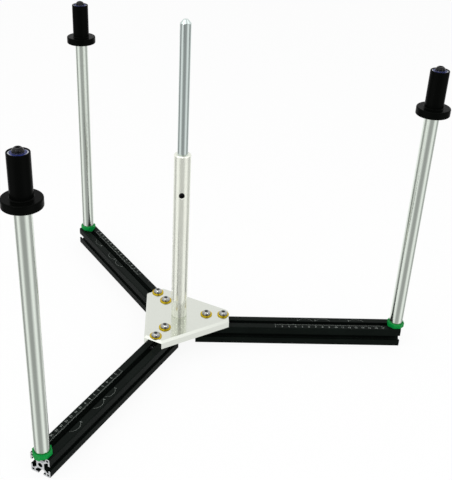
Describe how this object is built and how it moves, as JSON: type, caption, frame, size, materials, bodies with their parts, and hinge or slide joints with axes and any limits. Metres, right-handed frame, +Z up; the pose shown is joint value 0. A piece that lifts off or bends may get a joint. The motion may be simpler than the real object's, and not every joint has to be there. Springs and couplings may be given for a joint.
{
  "type": "bicycle wheel lacing stand",
  "caption": "Bench stand for lacing a bicycle wheel: slotted arms, sliding posts with rollers that carry the rim, and a centre rod for the hub.",
  "frame": {"origin": "on the bench plane, midway between the three arms, below the axis of the hub rod", "axes": "+Z up along the hub rod; +X out along the right arm; the back and front arms at 120 and 240 degrees"},
  "size_m": [0.5503, 0.6284, 0.4977],
  "materials": {
    "black_anodised_section": "black anodised extrusion, satin",
    "brushed_plate": "machined plate, finely brushed, bright chamfer",
    "bright_zinc_screws": "bright zinc plate, smooth",
    "yellow_zinc_washers": "yellow passivated zinc plate",
    "zinc_steel": "zinc plated steel",
    "polished_aluminium": "turned and polished bar",
    "bright_steel_rod": "bright drawn bar",
    "green_plastic": "moulded plastic, fine satin",
    "satin_tube": "satin anodised tube",
    "turned_aluminium": "as turned",
    "black_oxide_steel": "black oxide, slightly oily",
    "ground_bearing_steel": "ground",
    "bearing_balls": "polished balls",
    "blue_rubber": "moulded seal, satin",
    "black_plastic": "turned plastic, satin"
  },
  "bodies": {
    "base": {"arm_right": "black_anodised_section", "arm_back": "black_anodised_section", "arm_front": "black_anodised_section", "base_plate": "brushed_plate", "plate_screws": "bright_zinc_screws", "plate_washers": "yellow_zinc_washers", "plate_slot_nuts": "zinc_steel", "centre_post": "polished_aluminium", "centre_post_bolt": "zinc_steel"},
    "hub_rod": {"hub_rod": "bright_steel_rod"},
    "rod_grub_screw": {"rod_grub_screw": "black_oxide_steel"},
    "post_foot_right": {"foot_right": "green_plastic", "slot_nut_right": "zinc_steel", "stud_right": "zinc_steel"},
    "post_tube_right": {"tube_right": "satin_tube", "lower_plug_right": "turned_aluminium", "upper_plug_right": "turned_aluminium", "axle_screw_right": "black_oxide_steel", "axle_washers_right": "zinc_steel", "axle_spacer_right": "turned_aluminium", "inner_races_right": "ground_bearing_steel", "bearing_balls_right": "bearing_balls"},
    "roller_right": {"roller_right": "black_plastic", "outer_races_right": "ground_bearing_steel", "bearing_seals_right": "blue_rubber"},
    "post_foot_back": {"foot_back": "green_plastic", "slot_nut_back": "zinc_steel", "stud_back": "zinc_steel"},
    "post_tube_back": {"tube_back": "satin_tube", "lower_plug_back": "turned_aluminium", "upper_plug_back": "turned_aluminium", "axle_screw_back": "black_oxide_steel", "axle_washers_back": "zinc_steel", "axle_spacer_back": "turned_aluminium", "inner_races_back": "ground_bearing_steel", "bearing_balls_back": "bearing_balls"},
    "roller_back": {"roller_back": "black_plastic", "outer_races_back": "ground_bearing_steel", "bearing_seals_back": "blue_rubber"},
    "post_foot_front": {"foot_front": "green_plastic", "slot_nut_front": "zinc_steel", "stud_front": "zinc_steel"},
    "post_tube_front": {"tube_front": "satin_tube", "lower_plug_front": "turned_aluminium", "upper_plug_front": "turned_aluminium", "axle_screw_front": "black_oxide_steel", "axle_washers_front": "zinc_steel", "axle_spacer_front": "turned_aluminium", "inner_races_front": "ground_bearing_steel", "bearing_balls_front": "bearing_balls"},
    "roller_front": {"roller_front": "black_plastic", "outer_races_front": "ground_bearing_steel", "bearing_seals_front": "blue_rubber"}
  },
  "joints": [
    {"name": "hub_rod_height", "type": "slide", "parent": "base", "child": "hub_rod", "axis": [0, 0, 1], "range_m": [0, 0.065]},
    {"name": "rod_grub_screw_turn", "type": "hinge", "parent": "base", "child": "rod_grub_screw", "pos_m": [0, -0.0088, 0.2511], "axis": [0, -1, 0], "range_deg": [0, 360]},
    {"name": "post_slide_right", "type": "slide", "parent": "base", "child": "post_foot_right", "axis": [1, 0, 0], "range_m": [-0.2469, 0]},
    {"name": "post_turn_right", "type": "hinge", "parent": "post_foot_right", "child": "post_tube_right", "pos_m": [0.3362, 0, 0.05], "axis": [0, 0, 1], "range_deg": [0, 180]},
    {"name": "roller_spin_right", "type": "hinge", "parent": "post_tube_right", "child": "roller_right", "pos_m": [0.3362, 0, 0.41], "axis": [0, 0, 1], "continuous": true},
    {"name": "post_slide_back", "type": "slide", "parent": "base", "child": "post_foot_back", "axis": [-0.5, 0.866, 0], "range_m": [-0.2469, 0]},
    {"name": "post_turn_back", "type": "hinge", "parent": "post_foot_back", "child": "post_tube_back", "pos_m": [-0.1681, 0.29116, 0.05], "axis": [0, 0, 1], "range_deg": [0, 180]},
    {"name": "roller_spin_back", "type": "hinge", "parent": "post_tube_back", "child": "roller_back", "pos_m": [-0.1681, 0.29116, 0.41], "axis": [0, 0, 1], "continuous": true},
    {"name": "post_slide_front", "type": "slide", "parent": "base", "child": "post_foot_front", "axis": [-0.5, -0.866, 0], "range_m": [-0.2469, 0]},
    {"name": "post_turn_front", "type": "hinge", "parent": "post_foot_front", "child": "post_tube_front", "pos_m": [-0.1681, -0.29116, 0.05], "axis": [0, 0, 1], "range_deg": [0, 180]},
    {"name": "roller_spin_front", "type": "hinge", "parent": "post_tube_front", "child": "roller_front", "pos_m": [-0.1681, -0.29116, 0.41], "axis": [0, 0, 1], "continuous": true}
  ]
}
